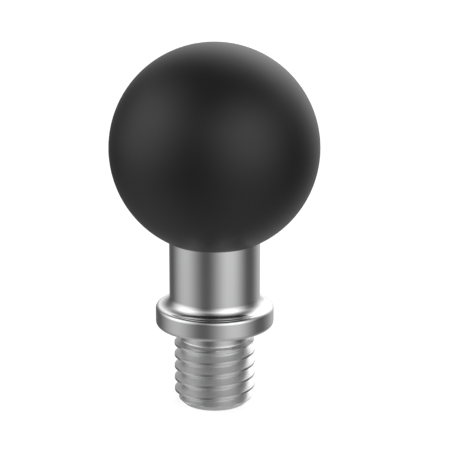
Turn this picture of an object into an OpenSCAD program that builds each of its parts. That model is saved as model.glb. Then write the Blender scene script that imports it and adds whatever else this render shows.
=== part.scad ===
// Threaded ball base: a rubber ball on a round metal stud that has a flange and a screw shank.
// The origin is the centre of the flange's seat face, and +Z runs up the axis to the ball.
// The stud is one turned piece, from the ball core at its top to the chamfered screw end.
// The rubber is moulded round the core, so its inside has the core's own outline.
// The shank is the plain cylinder that the crests of the screw thread lie on.

/* [Ball] */
// Diameter of the ball over its rubber
ball_d = 25.4; // [21:0.1:34]
// Thickness of the rubber over the metal core
rubber_t = 2.5; // [1.5:0.1:3.5]
// Number of grooves round the core that key the rubber to it
key_count = 3; // [1:1:3]
// Width of a keying groove
key_w = 2; // [1:0.1:3]
// Depth of a keying groove
key_depth = 1; // [0.5:0.1:1.5]
// Height from one keying groove to the next
key_pitch = 5; // [4:0.1:6]

/* [Neck] */
// Diameter of the round neck
neck_d = 11.1; // [9:0.1:13.4]
// Bare length of the neck, from the flange's top face to the rubber
neck_len = 8.2; // [3:0.05:20]
// Radius of the hollow round at the foot of the neck, where the flange is wide enough for it
neck_fillet_r = 1.25; // [0.3:0.05:3]

/* [Flange] */
// Diameter of the flange
flange_d = 14.5; // [12.1:0.1:24]
// Thickness of the flange
flange_t = 2.55; // [1.5:0.05:6]
// Radius of the round on the flange's top edge
rim_round = 0.45; // [0.1:0.05:0.6]
// Radius of the round on the flange's bottom edge
seat_round = 0.5; // [0.1:0.05:0.7]

/* [Screw shank] */
// Diameter over the crests of the M10 coarse thread, inside the thread's tolerance
thread_d = 9.9; // [7:0.1:11]
// Length of the shank below the seat face
shank_len = 10; // [7:0.5:60]
// Depth of the undercut below the thread's crests
relief_depth = 0.75; // [0.3:0.05:1]
// Straight part of the undercut's floor, between its sloped corner and its run-out
relief_floor = 0.35; // [0.1:0.05:1.5]
// Length of the run-out, the slope from the undercut's floor up to the crests
runout_len = 0.45; // [0.2:0.05:1]
// Clearance between the crests and the inner edge of the seat ring
seat_clearance = 0.05; // [0.05:0.05:0.3]
// Chamfer at the shank's free end
end_chamfer = 1; // [0.2:0.05:1.5]

/* [Hidden] */
ball_r = ball_d / 2;
core_r = ball_r - rubber_t;
neck_r = neck_d / 2;
flange_r = flange_d / 2;
thread_r = thread_d / 2;
relief_r = thread_r - relief_depth;
seat_hole_r = thread_r + seat_clearance;
// The undercut's corner slopes out past the crests at 45 degrees, so a plate slides up the shank to the seat
relief_slope = seat_hole_r - relief_r;
relief_w = relief_slope + relief_floor;
// The rubber ends where the ball's surface meets the neck
ball_z = flange_t + neck_len + sqrt(ball_r * ball_r - neck_r * neck_r);
// Room on the flange's top face between the neck and the edge round
shoulder_w = flange_r - neck_r - rim_round;
fillet_r = min(neck_fillet_r, shoulder_w);
// Reach of a cutting or filling shape past the edges that it works on
past = 1;
$fn = 96;

// Half of a disc of radius r, to the right of the axis
module half_disc(r) {
    intersection() {
        circle(r = r);
        translate([0, -r]) square([r, 2 * r]);
    }
}

// Hollow corner of radius r, whose two straight sides start at the origin and run to the right and up
module fillet_corner(r) {
    difference() {
        translate([-past, -past]) square(r + past);
        translate([r, r]) circle(r = r);
    }
}

// Waste outside a round of radius r, on a corner at the origin that points to the right and up
module round_waste(r) {
    translate([-r, -r]) difference() {
        square(r + past);
        circle(r = r);
    }
}

// Outline of the ball core, with its keying grooves, about the ball's centre
module core_outline() {
    difference() {
        half_disc(core_r);
        for (i = [0 : key_count - 1]) {
            z = (i - (key_count - 1) / 2) * key_pitch;
            floor_r = sqrt(core_r * core_r - z * z) - key_depth;
            translate([floor_r, z - key_w / 2]) square([ball_r, key_w]);
        }
    }
}

// Outline of everything metal inside the rubber: the core and the neck that runs into it
module anchor_outline() {
    translate([0, ball_z]) core_outline();
    square([neck_r, ball_z]);
}

// Outline of the flange with both its edges rounded
module flange_outline() {
    difference() {
        square([flange_r, flange_t]);
        translate([flange_r, flange_t]) round_waste(rim_round);
        translate([flange_r, 0]) rotate(-90) round_waste(seat_round);
    }
}

// Outline of the screw shank: undercut, thread cylinder and end chamfer
module shank_outline() {
    polygon([
        [0, -shank_len],
        [thread_r - end_chamfer, -shank_len],
        [thread_r, end_chamfer - shank_len],
        [thread_r, -relief_w - runout_len],
        [relief_r, -relief_w],
        [relief_r, -relief_slope],
        [seat_hole_r, 0],
        [seat_hole_r, flange_t],
        [0, flange_t]
    ]);
}

module threaded_stud() {
    color([0.72, 0.72, 0.73]) rotate_extrude() {
        anchor_outline();
        translate([neck_r, flange_t]) fillet_corner(fillet_r);
        flange_outline();
        shank_outline();
    }
}

module rubber_ball() {
    color([0.1, 0.1, 0.11]) rotate_extrude() difference() {
        translate([0, ball_z]) half_disc(ball_r);
        anchor_outline();
    }
}

threaded_stud();
rubber_ball();
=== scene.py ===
"""Looks of the threaded ball base: a rubber ball on a turned steel stud with a flange and a screw.

Everything is in metres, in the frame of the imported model: the origin is the centre of the flange's
seat face, and +Z runs up the axis of the stud to the ball.
"""

import logging
import math
from dataclasses import dataclass, field
from enum import Enum
from typing import Any, Union

import bmesh
import bpy
import numpy as np
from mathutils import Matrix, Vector


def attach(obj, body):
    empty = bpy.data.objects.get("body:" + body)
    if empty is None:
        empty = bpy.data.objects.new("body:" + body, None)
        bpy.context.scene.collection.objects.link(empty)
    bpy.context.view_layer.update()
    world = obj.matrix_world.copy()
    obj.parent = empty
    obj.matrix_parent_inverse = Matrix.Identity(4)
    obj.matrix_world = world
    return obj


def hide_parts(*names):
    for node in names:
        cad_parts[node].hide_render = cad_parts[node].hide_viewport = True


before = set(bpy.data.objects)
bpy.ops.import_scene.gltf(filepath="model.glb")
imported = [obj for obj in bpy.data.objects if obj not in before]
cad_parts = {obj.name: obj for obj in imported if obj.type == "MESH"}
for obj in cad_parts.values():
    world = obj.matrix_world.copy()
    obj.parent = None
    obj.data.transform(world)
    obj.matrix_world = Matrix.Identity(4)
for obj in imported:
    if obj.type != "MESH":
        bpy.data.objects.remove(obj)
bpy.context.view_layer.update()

MM = 0.001
FULL_TURN = 2 * math.pi
BODY = "root"

Number = Union[float, "Value"]
Colour = tuple[float, float, float]
SocketColour = tuple[float, float, float, float]
Profile = tuple[tuple[float, float], ...]

log = logging.getLogger("threaded_ball_base")


class Slot(Enum):
    """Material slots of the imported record."""

    STEEL = "steel"
    RUBBER = "rubber"


class Blend(Enum):
    """Ways in which a ramp goes from one value to the next."""

    STRAIGHT = "LINEAR"
    SOFT = "SMOOTHSTEP"


def opaque(colour: Colour, factor: float = 1.0) -> SocketColour:
    """Returns a colour for a socket, with each of its parts times the factor."""
    return (*(part * factor for part in colour), 1.0)


def grey(level: float) -> SocketColour:
    """Returns a neutral colour of that linear level."""
    return opaque((level, level, level))


class Value:
    """Number on a node's output socket, which can be used in Python expressions."""

    def __init__(self, graph: "Graph", socket: bpy.types.NodeSocket) -> None:
        """Wraps a socket.

        Args:
            graph: The node graph that the socket is in.
            socket: An output socket that gives one number.
        """
        self.graph = graph
        self.socket = socket

    def _math(self, operation: str, *terms: Number) -> "Value":
        """Adds a Math node.

        Args:
            operation: The node's operation.
            *terms: The numbers that it works on, in order.

        Returns:
            The node's result.
        """
        node = self.graph.node("ShaderNodeMath", {"operation": operation}, dict(enumerate(terms)))
        return Value(self.graph, node.outputs[0])

    def __add__(self, other: Number) -> "Value":
        """Returns self + other."""
        return self._math("ADD", self, other)

    def __radd__(self, other: Number) -> "Value":
        """Returns other + self."""
        return self._math("ADD", other, self)

    def __sub__(self, other: Number) -> "Value":
        """Returns self - other."""
        return self._math("SUBTRACT", self, other)

    def __rsub__(self, other: Number) -> "Value":
        """Returns other - self."""
        return self._math("SUBTRACT", other, self)

    def __mul__(self, other: Number) -> "Value":
        """Returns self * other."""
        return self._math("MULTIPLY", self, other)

    def __rmul__(self, other: Number) -> "Value":
        """Returns other * self."""
        return self._math("MULTIPLY", other, self)

    def __truediv__(self, other: Number) -> "Value":
        """Returns self / other."""
        return self._math("DIVIDE", self, other)

    def __rtruediv__(self, other: Number) -> "Value":
        """Returns other / self."""
        return self._math("DIVIDE", other, self)

    def __pow__(self, other: Number) -> "Value":
        """Returns self to the power of other."""
        return self._math("POWER", self, other)

    def __rpow__(self, other: Number) -> "Value":
        """Returns other to the power of self."""
        return self._math("POWER", other, self)

    def arccos_degrees(self) -> "Value":
        """Returns the angle, in degrees, whose cosine is self."""
        return self._math("ARCCOSINE", self) * math.degrees(1.0)

    def arcsin_degrees(self) -> "Value":
        """Returns the angle, in degrees, whose sine is self."""
        return self._math("ARCSINE", self) * math.degrees(1.0)

    def ramp(self, start: float, end: float, blend: Blend = Blend.SOFT) -> "Value":
        """Goes from 0 to 1 while self goes from start to end, and stays there beyond them.

        Args:
            start: Where the result is 0.
            end: Where the result is 1. It may be below start.
            blend: How the result goes from 0 to 1.

        Returns:
            The ramp's result.
        """
        if blend is Blend.SOFT and start > end:
            return 1.0 - self.ramp(end, start, blend)
        settings = {"interpolation_type": blend.value, "clamp": True}
        inputs = {"Value": self, "From Min": start, "From Max": end}
        node = self.graph.node("ShaderNodeMapRange", settings, inputs)
        return Value(self.graph, node.outputs["Result"])

    def profile(self, points: Profile) -> "Value":
        """Goes straight from point to point of a profile.

        Args:
            points: Values of self, in rising order, each with the result that it gives.

        Returns:
            The profile's result.
        """
        start, end = points[0][0], points[-1][0]
        stops = [((at - start) / (end - start), grey(level)) for at, level in points]
        inputs = {"Fac": self.ramp(start, end, Blend.STRAIGHT)}
        node = self.graph.node("ShaderNodeValToRGB", {"stops": stops}, inputs)
        return Value(self.graph, node.outputs["Color"])


class Graph:
    """Nodes of one material or world."""

    # The colour sockets of a Mix node go by number, because its other sockets have the same names
    MIX_FIRST = 6
    MIX_SECOND = 7
    MIX_RESULT = 2
    # Average level of a noise pattern, roughly
    NOISE_MIDDLE = 0.5

    def __init__(self, tree: bpy.types.NodeTree) -> None:
        """Starts on an empty tree.

        Args:
            tree: The node tree, whose nodes are removed first.
        """
        self.tree = tree
        self.tree.nodes.clear()

    def node(self, kind: str, settings: dict[str, Any], inputs: dict[Any, Any]) -> bpy.types.Node:
        """Adds a node.

        Args:
            kind: The node's type.
            settings: Its settings by name, which are set before anything is linked to it. A colour
                ramp takes its stops, pairs of place and colour, under the name stops.
            inputs: What each input socket gets, by name or number: a number, a colour, a vector, a
                Value or another node's output socket.

        Returns:
            The new node.
        """
        made = self.tree.nodes.new(kind)
        for name, setting in settings.items():
            if name == "stops":
                self._set_stops(made.color_ramp.elements, setting)
            else:
                setattr(made, name, setting)
        for name, given in inputs.items():
            if isinstance(given, Value):
                given = given.socket
            if isinstance(given, bpy.types.NodeSocket):
                self.tree.links.new(given, made.inputs[name])
            else:
                made.inputs[name].default_value = given
        return made

    @staticmethod
    def _set_stops(
        elements: bpy.types.ColorRampElements, stops: list[tuple[float, SocketColour]]
    ) -> None:
        """Gives a colour ramp its stops.

        Args:
            elements: The ramp's own stops.
            stops: Place and colour of each, in rising order.
        """
        while len(elements) < len(stops):
            elements.new(1.0)
        for element, (position, colour) in zip(elements, stops):
            element.position = position
            element.color = colour

    def place(self, space: str) -> bpy.types.NodeSocket:
        """Returns the socket of a place in the named space of the Texture Coordinate node."""
        return self.node("ShaderNodeTexCoord", {}, {}).outputs[space]

    def split(self, vector: bpy.types.NodeSocket) -> tuple[Value, Value, Value]:
        """Takes a vector apart.

        Args:
            vector: The socket that gives the vector.

        Returns:
            Its three parts.
        """
        parts = self.node("ShaderNodeSeparateXYZ", {}, {"Vector": vector})
        return tuple(Value(self, socket) for socket in parts.outputs)

    def join(self, x: Number, y: Number, z: Number) -> bpy.types.NodeSocket:
        """Puts a vector together from its three parts and returns its socket."""
        return self.node("ShaderNodeCombineXYZ", {}, {"X": x, "Y": y, "Z": z}).outputs["Vector"]

    def noise(self, place: bpy.types.NodeSocket, size: float, layers: float) -> Value:
        """Adds a noise pattern.

        Args:
            place: The vector that says where the pattern is read.
            size: Size of its largest spots, in the vector's own unit.
            layers: How many finer layers it has.

        Returns:
            The pattern, which is about NOISE_MIDDLE on average.
        """
        inputs = {"Vector": place, "Scale": 1 / size, "Detail": layers}
        return Value(self, self.node("ShaderNodeTexNoise", {}, inputs).outputs["Fac"])

    def mix(self, factor: Number, first: SocketColour, second: SocketColour) -> bpy.types.NodeSocket:
        """Mixes two colours.

        Args:
            factor: The share of the second colour.
            first: The colour at 0.
            second: The colour at 1.

        Returns:
            The mixed colour's socket.
        """
        inputs = {"Factor": factor, self.MIX_FIRST: first, self.MIX_SECOND: second}
        return self.node("ShaderNodeMix", {"data_type": "RGBA"}, inputs).outputs[self.MIX_RESULT]

    def bump(self, height: Value, depth: float) -> bpy.types.NodeSocket:
        """Makes a surface normal from a height pattern.

        Args:
            height: The pattern.
            depth: The depth, in metres, from a height of 1 to a height of 0.

        Returns:
            The normal's socket.
        """
        inputs = {"Height": height, "Distance": depth, "Strength": 1.0}
        return self.node("ShaderNodeBump", {}, inputs).outputs["Normal"]


@dataclass(frozen=True)
class Finish:
    """Finish of one kind of surface, which becomes a material with one shader."""

    name: str

    def inputs(self, graph: Graph) -> dict[str, Any]:
        """Works out the shader's inputs.

        Args:
            graph: The graph of the material's nodes.

        Returns:
            What each of the shader's sockets gets, by name.
        """
        raise NotImplementedError

    def build(self) -> bpy.types.Material:
        """Returns the finished material."""
        material = bpy.data.materials.new(self.name)
        material.use_nodes = True
        graph = Graph(material.node_tree)
        shader = graph.node("ShaderNodeBsdfPrincipled", {}, self.inputs(graph))
        graph.node("ShaderNodeOutputMaterial", {}, {"Surface": shader.outputs[0]})
        return material


@dataclass(frozen=True)
class TurnedSteel(Finish):
    """Satin steel, with the fine rings that a lathe leaves and faint smudges."""

    name: str = "turned_steel"
    colour: Colour = (0.78, 0.78, 0.785)
    # By how much the pattern of rings and smudges makes the colour lighter and darker
    shade_change: float = 0.03
    roughness: float = 0.14
    # How much rougher the pattern's lightest places are than its darkest
    roughness_change: float = 0.06
    # How much rougher the cut thread is, and the height that it starts at, with the blend to each side
    screw_roughness: float = 0.21
    screw_top: float = -1.6 * MM
    screw_blend: float = 0.3 * MM
    # The crests keep the turned bar's finish down to the first radius, and below the second all is cut
    crest_skin: float = 4.96 * MM
    cut_radius: float = 4.9 * MM
    ring_spacing: float = 0.09 * MM
    ring_depth: float = 0.00002 * MM
    smudge_size: float = 3.5 * MM
    # Share of the smudges in the pattern, in which the rings have the rest
    smudge_share: float = 0.6
    # Finer layers in the rings and in the smudges
    layers: float = 3.0

    def inputs(self, graph: Graph) -> dict[str, Any]:
        """Works out the shader's inputs.

        Args:
            graph: The graph of the material's nodes.

        Returns:
            What each of the shader's sockets gets, by name.
        """
        place = graph.place("Object")
        x, y, z = graph.split(place)
        radius = (x * x + y * y) ** 0.5
        screw = z.ramp(self.screw_top + self.screw_blend, self.screw_top - self.screw_blend)
        cut = screw * radius.ramp(self.crest_skin, self.cut_radius)
        rings = graph.noise(graph.join(radius, z, 0.0), self.ring_spacing, self.layers)
        smudges = graph.noise(place, self.smudge_size, self.layers)
        pattern = self.smudge_share * smudges + (1 - self.smudge_share) * rings
        dark = opaque(self.colour, 1 - self.shade_change)
        light = opaque(self.colour, 1 + self.shade_change)
        change = self.roughness_change * (pattern - Graph.NOISE_MIDDLE)
        return {
            "Base Color": graph.mix(pattern, dark, light),
            "Metallic": 1.0,
            "Roughness": self.roughness + self.screw_roughness * cut + change,
            "Normal": graph.bump(rings, self.ring_depth),
        }


@dataclass(frozen=True)
class MouldedRubber(Finish):
    """Matte black rubber with the fine skin of the mould."""

    name: str = "moulded_rubber"
    # The rubber's own colour, and its colour where the pattern of clouds and grain is lightest
    colour: Colour = (0.005, 0.005, 0.0055)
    dusty: Colour = (0.009, 0.009, 0.0095)
    roughness: float = 0.4
    # How much rougher the lightest places of the clouds, and of the grain, are than the darkest
    roughness_change: float = 0.05
    grain_size: float = 0.16 * MM
    grain_depth: float = 0.0015 * MM
    grain_layers: float = 3.0
    cloud_size: float = 5 * MM
    cloud_layers: float = 2.0
    # Share of the clouds in the colour's pattern, in which the grain has the rest
    cloud_share: float = 0.7

    def inputs(self, graph: Graph) -> dict[str, Any]:
        """Works out the shader's inputs.

        Args:
            graph: The graph of the material's nodes.

        Returns:
            What each of the shader's sockets gets, by name.
        """
        place = graph.place("Object")
        grain = graph.noise(place, self.grain_size, self.grain_layers)
        clouds = graph.noise(place, self.cloud_size, self.cloud_layers)
        pattern = self.cloud_share * clouds + (1 - self.cloud_share) * grain
        change = (clouds - Graph.NOISE_MIDDLE) + (grain - Graph.NOISE_MIDDLE)
        return {
            "Base Color": graph.mix(pattern, opaque(self.colour), opaque(self.dusty)),
            "Roughness": self.roughness + self.roughness_change * change,
            "Normal": graph.bump(grain, self.grain_depth),
        }


@dataclass(frozen=True)
class PaleFloor(Finish):
    """Matte pale floor that the camera sees as white."""

    name: str = "pale_floor"
    level: float = 0.8
    # Light that the floor gives off for the camera alone, so that it shows as white
    fill: float = 0.62

    def inputs(self, graph: Graph) -> dict[str, Any]:
        """Works out the shader's inputs.

        Args:
            graph: The graph of the material's nodes.

        Returns:
            What each of the shader's sockets gets, by name.
        """
        camera_ray = graph.node("ShaderNodeLightPath", {}, {}).outputs["Is Camera Ray"]
        return {
            "Base Color": grey(self.level),
            "Roughness": 1.0,
            "Specular IOR Level": 0.0,
            "Emission Color": graph.mix(Value(graph, camera_ray), grey(0.0), grey(self.fill)),
            "Emission Strength": 1.0,
        }


@dataclass
class Outline:
    """Half section of a turned body: points of radius and height, in metres, in one line."""

    points: list[tuple[float, float]] = field(default_factory=list)
    # A straight part over the first length gets a point at the second length from each of its ends
    long_part: float = 0.12 * MM
    hold: float = 0.03 * MM
    # Points closer than this are one point
    touching: float = 1e-9

    def line(self, radius: float, height: float) -> "Outline":
        """Goes straight to a point.

        The points close to its ends hold the shading of the neighbouring rounds off a long part.

        Args:
            radius: The point's distance from the axis.
            height: Its height.

        Returns:
            The outline itself.
        """
        if self.points:
            start = Vector(self.points[-1])
            run = Vector((radius, height)) - start
            if run.length > self.long_part:
                step = run.normalized() * self.hold
                self.points.append(tuple(start + step))
                self.points.append(tuple(start + run - step))
        self.points.append((radius, height))
        return self

    def arc(
        self, centre: tuple[float, float], radius: float, start: float, end: float, steps: int
    ) -> "Outline":
        """Follows an arc.

        Args:
            centre: Radius and height of the arc's centre.
            radius: The arc's own radius.
            start: Angle of its first point in degrees, 0 outwards and 90 upwards.
            end: Angle of its last point.
            steps: Number of straight steps that it is drawn with.

        Returns:
            The outline itself.
        """
        for i in range(steps + 1):
            angle = math.radians(start + (end - start) * i / steps)
            point = (centre[0] + radius * math.cos(angle), centre[1] + radius * math.sin(angle))
            if not self.points or math.dist(point, self.points[-1]) > self.touching:
                self.points.append(point)
        return self


@dataclass
class Skin:
    """Welded mesh of a body with rings of points round the Z axis."""

    # Points in a ring, the same in both pieces, so that their facets match where they meet
    segments: int = 256
    weld_distance: float = 0.0002 * MM
    # Angle between two faces, in degrees, above which their edge is a sharp one
    sharp_over: float = 32.0
    points: list[np.ndarray] = field(default_factory=list)
    faces: list[np.ndarray] = field(default_factory=list)
    point_count: int = 0

    @property
    def angles(self) -> np.ndarray:
        """Angle of each point in a ring, in radians from +X."""
        return np.arange(self.segments) * (FULL_TURN / self.segments)

    def add_rings(self, radius: np.ndarray, height: np.ndarray, seam_shift: int = 0) -> None:
        """Adds rings and the faces between each of them and the next.

        Args:
            radius: Radius of every point, a row for each ring.
            height: Height of every point, a row for each ring.
            seam_shift: By how many rows the rings climb in one turn. 0 is for closed rings.
        """
        rows = len(radius)
        x, y = radius * np.cos(self.angles), radius * np.sin(self.angles)
        self.points.append(np.stack([x, y, height], -1).reshape(-1, 3))
        row, column = np.meshgrid(np.arange(rows - 1), np.arange(self.segments), indexing="ij")
        after = (column + 1) % self.segments
        climb = np.where(after == 0, seam_shift, 0)
        low_after, high_after = (np.minimum(row + up + climb, rows - 1) for up in (0, 1))
        corners = [(row, column), (low_after, after), (high_after, after), (row + 1, column)]
        quads = [self.point_count + in_row * self.segments + place for in_row, place in corners]
        self.faces.append(np.stack(quads, -1).reshape(-1, 4))
        self.point_count += rows * self.segments

    def add_outline(self, outline: Outline) -> None:
        """Adds the surface that an outline makes when it is turned about the axis."""
        radius, height = (np.array(part)[:, None] for part in zip(*outline.points))
        across = np.ones((1, self.segments))
        self.add_rings(radius * across, height * across)

    def build(self, name: str) -> bpy.types.Object:
        """Welds the rings into one closed mesh.

        Args:
            name: The new object's name.

        Returns:
            The new object.
        """
        mesh = bpy.data.meshes.new(name)
        mesh.from_pydata(np.concatenate(self.points).tolist(), [], np.concatenate(self.faces).tolist())
        work = bmesh.new()
        work.from_mesh(mesh)
        bmesh.ops.remove_doubles(work, verts=work.verts, dist=self.weld_distance)
        bmesh.ops.recalc_face_normals(work, faces=work.faces)
        work.to_mesh(mesh)
        work.free()
        mesh.shade_smooth()
        mesh.set_sharp_from_angle(angle=math.radians(self.sharp_over))
        made = bpy.data.objects.new(name, mesh)
        bpy.context.scene.collection.objects.link(made)
        return made


def fit_on_frame(piece: bpy.types.Object, node: str, finish: Finish) -> None:
    """Dresses a piece and puts it in the place of its CAD node.

    Args:
        piece: The piece.
        node: The CAD node that it stands for.
        finish: The piece's finish.
    """
    piece.data.materials.append(finish.build())
    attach(piece, BODY)
    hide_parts(node)


@dataclass(frozen=True)
class BallCore:
    """Metal ball inside the rubber, with the grooves that key the rubber to it."""

    centre: float = 22.1735 * MM
    radius: float = 10.2 * MM
    neck_radius: float = 5.55 * MM
    groove_count: int = 3
    groove_width: float = 2 * MM
    groove_depth: float = 1 * MM
    groove_pitch: float = 5 * MM
    # Straight steps in each arc between two grooves
    arc_steps: int = 10

    def outline(self) -> Outline:
        """Returns the core's outline, from its top down to the neck."""
        outline = Outline()
        middle = (0.0, self.centre)
        angle = 90.0
        for i in range(self.groove_count):
            groove = ((self.groove_count - 1) / 2 - i) * self.groove_pitch
            top, bottom = groove + self.groove_width / 2, groove - self.groove_width / 2
            floor = math.sqrt(self.radius**2 - groove**2) - self.groove_depth
            edge = math.degrees(math.asin(top / self.radius))
            outline.arc(middle, self.radius, angle, edge, self.arc_steps)
            outline.line(floor, self.centre + top).line(floor, self.centre + bottom)
            outline.line(math.sqrt(self.radius**2 - bottom**2), self.centre + bottom)
            angle = math.degrees(math.asin(bottom / self.radius))
        neck = -math.degrees(math.acos(self.neck_radius / self.radius))
        return outline.arc(middle, self.radius, angle, neck, self.arc_steps)


@dataclass(frozen=True)
class ScrewThread:
    """Right-hand M10 coarse thread on the shank, between the undercut and the chamfer at its end."""

    pitch: float = 1.5 * MM
    crest_radius: float = 4.98 * MM
    depth: float = 0.873 * MM
    crest_flat: float = 0.25 * MM
    root_flat: float = 0.15 * MM
    # Rows of faces on a flank, and on half of a crest or root
    flank_rows: int = 12
    flat_rows: int = 2
    # Height of a crest's middle on the +X side
    crest_height: float = -0.182 * MM

    @property
    def root_radius(self) -> float:
        """Radius of the thread's root."""
        return self.crest_radius - self.depth

    def climb(self, angle: np.ndarray) -> np.ndarray:
        """Returns how far the thread climbs from the +X side to each angle, in radians."""
        return self.pitch * angle / FULL_TURN

    def half_section(self) -> tuple[np.ndarray, np.ndarray]:
        """Works out the section from the middle of a crest to the middle of the next root.

        Returns:
            Distances along the axis from the crest's middle, and the radius at each of them.
        """
        start, end = self.crest_flat / 2, (self.pitch - self.root_flat) / 2
        crest = np.linspace(0.0, start, self.flat_rows, endpoint=False)
        flank = np.linspace(start, end, self.flank_rows, endpoint=False)
        root = np.linspace(end, self.pitch / 2, self.flat_rows + 1)
        distance = np.concatenate([crest, flank, root])
        return distance, np.interp(distance, [start, end], [self.crest_radius, self.root_radius])

    def radius_at(self, angle: np.ndarray, height: np.ndarray) -> np.ndarray:
        """Gives the thread's radius.

        Args:
            angle: Angles round the axis, in radians from +X.
            height: Heights of the same points.

        Returns:
            The radius at each point.
        """
        distance, radius = self.half_section()
        along = height - self.crest_height - self.climb(angle)
        from_crest = np.abs(along - self.pitch * np.round(along / self.pitch))
        return np.interp(from_crest, distance, radius)

    def row_heights(self, angle: np.ndarray, low: float, high: float) -> tuple[np.ndarray, int]:
        """Lays rows along the thread.

        Args:
            angle: Angles of the columns, in radians.
            low: Lowest height that the rows have to reach.
            high: Highest height that they have to reach.

        Returns:
            Height of every point, a row for each line along the thread, and the number of rows in
            one pitch.
        """
        distance, _ = self.half_section()
        pattern = np.concatenate([-distance[:0:-1], distance[:-1]])
        first = math.floor((low - self.crest_height) / self.pitch) - 1
        last = math.ceil((high - self.crest_height) / self.pitch)
        turns = np.arange(first, last + 1) * self.pitch
        starts = (turns[:, None] + pattern[None, :]).reshape(-1, 1) + self.crest_height
        return starts + self.climb(angle), len(pattern)


@dataclass
class ThreadedStud:
    """Turned stud: ball core, neck, flange, undercut and screw shank in one piece of steel."""

    core: BallCore = field(default_factory=BallCore)
    thread: ScrewThread = field(default_factory=ScrewThread)
    finish: Finish = field(default_factory=TurnedSteel)
    neck_fillet: float = 1.25 * MM
    flange_radius: float = 7.25 * MM
    flange_height: float = 2.55 * MM
    rim_round: float = 0.45 * MM
    seat_round: float = 0.5 * MM
    seat_hole: float = 5.0 * MM
    # Straight steps in the fillet's arc, and in the round of each edge of the flange
    fillet_steps: int = 20
    edge_steps: int = 10
    undercut_radius: float = 4.2 * MM
    # Height at which the undercut's floor starts, under the slope that comes down from the seat
    undercut_floor: float = -0.8 * MM
    # Height on that floor at which the rows along the thread begin
    rows_top: float = -0.925 * MM
    # Height of the shoulder at the floor's lower end, and the round between them with its steps
    shoulder: float = -1.86 * MM
    shoulder_round: float = 0.2 * MM
    shoulder_steps: int = 3
    # How much lower the shoulder is at the crests than at its round
    shoulder_slope: float = 0.04 * MM
    # Height below which the thread's root is no longer filled up towards the undercut's floor
    full_depth: float = -3.72 * MM
    # Heights at which the end chamfer starts and the shank ends
    chamfer_start: float = -9.0 * MM
    shank_end: float = -10.0 * MM
    end_radius: float = 3.95 * MM

    def upper_outline(self) -> Outline:
        """Returns the outline from the core's top down to the undercut's floor."""
        outline = self.core.outline()
        neck = self.core.neck_radius
        fillet_middle = (neck + self.neck_fillet, self.flange_height + self.neck_fillet)
        outline.line(neck, fillet_middle[1])
        outline.arc(fillet_middle, self.neck_fillet, 180, 270, self.fillet_steps)
        rim_middle = (self.flange_radius - self.rim_round, self.flange_height - self.rim_round)
        outline.arc(rim_middle, self.rim_round, 90, 0, self.edge_steps)
        seat_middle = (self.flange_radius - self.seat_round, self.seat_round)
        outline.line(self.flange_radius, self.seat_round)
        outline.arc(seat_middle, self.seat_round, 0, -90, self.edge_steps)
        outline.line(self.seat_hole, 0.0).line(self.undercut_radius, self.undercut_floor)
        return outline.line(self.undercut_radius, self.rows_top)

    def shank_rings(self, angles: np.ndarray) -> tuple[np.ndarray, np.ndarray, int]:
        """Works out the threaded part of the shank.

        Args:
            angles: Angles of the columns, in radians.

        Returns:
            Radius and height of every point, and the number of rows in one pitch.
        """
        height, per_pitch = self.thread.row_heights(angles, self.shank_end, self.rows_top)
        height = np.clip(height, self.shank_end, self.rows_top)
        rise = np.linspace(0.0, self.shoulder_round, self.shoulder_steps + 1)
        fillet = np.sqrt(self.shoulder_round**2 - (self.shoulder_round - rise) ** 2)
        hollow = self.undercut_radius + self.shoulder_round - fillet
        edges = [self.chamfer_start, self.shoulder - self.shoulder_slope, *(self.shoulder + rise)]
        columns = np.arange(len(angles))
        for edge in edges:
            nearest = np.abs(height - edge).argmin(axis=0)
            height[nearest, columns] = edge
        crest, root = self.thread.crest_radius, self.thread.root_radius
        outer = np.interp(height, [self.shank_end, *edges], [self.end_radius, crest, crest, *hollow])
        inner = np.interp(height, [self.full_depth, self.shoulder], [root, self.undercut_radius])
        radius = np.minimum(self.thread.radius_at(angles, height), outer)
        radius = np.where(height > self.chamfer_start, np.maximum(radius, inner), radius)
        return radius, height, per_pitch

    def build(self) -> bpy.types.Object:
        """Builds and dresses the stud.

        Returns:
            The finished piece.
        """
        skin = Skin()
        skin.add_outline(self.upper_outline())
        skin.add_rings(*self.shank_rings(skin.angles))
        skin.add_outline(Outline().line(self.end_radius, self.shank_end).line(0.0, self.shank_end))
        piece = skin.build("steel_stud")
        fit_on_frame(piece, "threaded_stud", self.finish)
        return piece


@dataclass
class RubberBall:
    """Rubber moulded round the core, down to the neck."""

    core: BallCore = field(default_factory=BallCore)
    finish: Finish = field(default_factory=MouldedRubber)
    radius: float = 12.7 * MM
    # Straight steps in the outside, from the top to the neck
    outside_steps: int = 128

    def build(self) -> bpy.types.Object:
        """Builds and dresses the ball.

        Returns:
            The finished piece.
        """
        outline = Outline()
        rim = -math.degrees(math.acos(self.core.neck_radius / self.radius))
        outline.arc((0.0, self.core.centre), self.radius, 90, rim, self.outside_steps)
        inside = self.core.outline().points[::-1]
        outline.line(*inside[0])
        outline.points += inside[1:]
        skin = Skin()
        skin.add_outline(outline)
        piece = skin.build("moulded_ball")
        fit_on_frame(piece, "rubber_ball", self.finish)
        return piece


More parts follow.
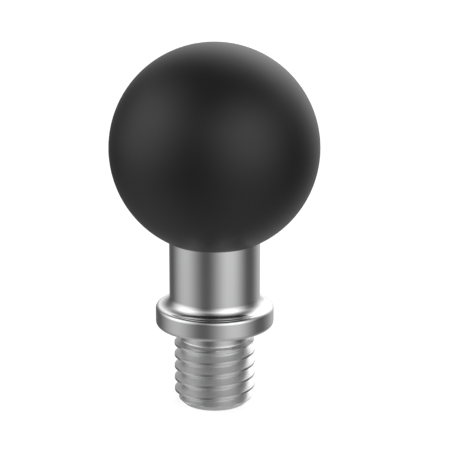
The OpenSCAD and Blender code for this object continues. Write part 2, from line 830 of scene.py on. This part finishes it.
@dataclass(frozen=True)
class Softbox:
    """Tall soft panel of light beside the object.

    All but its strength is in degrees. Azimuth 0 is before the object, on the camera's side, and 90
    is to its right.
    """

    azimuth: float
    strength: float
    # How much higher than the studio's usual panel it hangs
    rise: float
    # Half the width to the middle of its soft edge, and how far that edge fades to each side
    half_width: float = 30.0
    blur: float = 27.0

    def share(self, across: tuple[Value, Value]) -> Value:
        """Gives the share of the panel's light that a level direction gets.

        Args:
            across: The X and Y parts of the direction.

        Returns:
            The share, which is the panel's strength at its middle.
        """
        bearing = math.radians(self.azimuth)
        x, y = math.sin(bearing), -math.cos(bearing)
        angle = (across[0] * x + across[1] * y).arccos_degrees()
        return self.strength * angle.ramp(self.half_width + self.blur, self.half_width - self.blur)


@dataclass
class Studio:
    """Plain pale floor in a white studio with soft panels of light."""

    boxes: tuple[Softbox, ...] = (
        Softbox(azimuth=-80.0, strength=1.0, rise=2.0),
        Softbox(azimuth=38.0, strength=1.08, rise=-1.0),
        Softbox(azimuth=159.0, strength=1.1, rise=6.5),
    )
    # Light of a panel's middle and of the walls, as pairs of elevation in degrees and strength
    box_light: Profile = (
        (-90, 0.0), (-50, 0.22), (-30, 0.27), (-15, 0.55), (0, 1.0),
        (30, 1.25), (50, 0.6), (70, 0.12), (90, 0.0),
    )
    wall_light: Profile = (
        (-90, 0.37), (-50, 0.32), (-30, 0.2), (-15, 0.09), (15, 0.2),
        (30, 0.45), (50, 0.2), (70, 0.05), (90, 0.1),
    )
    # Keeps the level part of a direction from having no length straight up and straight down
    least_level: float = 1e-6
    floor_finish: Finish = field(default_factory=PaleFloor)
    floor_height: float = -10.0 * MM
    floor_size: float = 4.0

    def light_world(self) -> None:
        """Fills the world with the studio's light, which the camera sees as plain white."""
        world = bpy.data.worlds.new("studio")
        world.use_nodes = True
        bpy.context.scene.world = world
        graph = Graph(world.node_tree)
        x, y, z = graph.split(graph.place("Generated"))
        level = (x * x + y * y + self.least_level) ** 0.5
        across = (x / level, y / level)
        elevation = z.arcsin_degrees()
        light = elevation.profile(self.wall_light)
        for box in self.boxes:
            light = light + box.share(across) * (elevation - box.rise).profile(self.box_light)
        path = graph.node("ShaderNodeLightPath", {}, {})
        camera_ray, glass_ray = (
            Value(graph, path.outputs[name]) for name in ("Is Camera Ray", "Is Transmission Ray")
        )
        seen = camera_ray + glass_ray
        strength = seen + (1.0 - seen) * light
        shader = graph.node("ShaderNodeBackground", {}, {"Color": grey(1.0), "Strength": strength})
        graph.node("ShaderNodeOutputWorld", {}, {"Surface": shader.outputs[0]})

    def lay_floor(self) -> None:
        """Lays the floor, which the camera sees as white apart from the object's soft shadow."""
        mesh = bpy.data.meshes.new("floor")
        half = self.floor_size / 2
        signs = ((-1, -1), (1, -1), (1, 1), (-1, 1))
        corners = [(x * half, y * half, self.floor_height) for x, y in signs]
        mesh.from_pydata(corners, [], [tuple(range(len(corners)))])
        mesh.materials.append(self.floor_finish.build())
        floor = bpy.data.objects.new("floor", mesh)
        bpy.context.scene.collection.objects.link(floor)
        # The light from below comes from the world, so the floor only shows and takes the shadow
        floor.visible_diffuse = False
        floor.visible_glossy = False
        floor.visible_shadow = False

    def build(self) -> None:
        """Sets up the whole studio."""
        self.light_world()
        self.lay_floor()
        bpy.context.scene.view_settings.view_transform = "Standard"


@dataclass(frozen=True)
class PhotoCamera:
    """Camera at the photograph's place."""

    # Height of the point on the stud's axis that is level with the picture's middle, and the
    # camera's distance and its elevation in degrees, both as seen from that point
    aim_height: float = 12.574 * MM
    distance: float = 215.0 * MM
    elevation: float = 15.924
    # How far right of the axis the picture's middle lies, which the camera turns to
    aim_right: float = 1.266 * MM
    # Lens and sensor, in millimetres as the camera counts them
    lens: float = 141.71
    sensor: float = 36.0
    clip_start: float = 10 * MM

    def build(self) -> bpy.types.Object:
        """Makes the scene's camera.

        Returns:
            The camera.
        """
        data = bpy.data.cameras.new("photo_camera")
        data.lens = self.lens
        data.sensor_width = self.sensor
        data.clip_start = self.clip_start
        camera = bpy.data.objects.new("photo_camera", data)
        bpy.context.scene.collection.objects.link(camera)
        tilt = math.radians(self.elevation)
        back = Vector((0.0, -math.cos(tilt), math.sin(tilt)))
        camera.location = Vector((0.0, 0.0, self.aim_height)) + back * self.distance
        aim = Vector((self.aim_right, 0.0, self.aim_height))
        camera.rotation_euler = (aim - camera.location).to_track_quat("-Z", "Y").to_euler()
        bpy.context.scene.camera = camera
        return camera


def main() -> None:
    """Builds the object, its studio and its camera, and reports each of them."""
    logging.basicConfig(level=logging.INFO, format="%(name)s: %(message)s")
    for part in (ThreadedStud(), RubberBall()):
        piece = part.build()
        log.info("%s: %d faces, finish %s", piece.name, len(piece.data.polygons), part.finish.name)
    studio = Studio()
    studio.build()
    log.info("studio: %d soft panels", len(studio.boxes))
    camera = PhotoCamera().build()
    log.info("camera: %.1f mm lens", camera.data.lens)


if __name__ == "__main__":
    main()
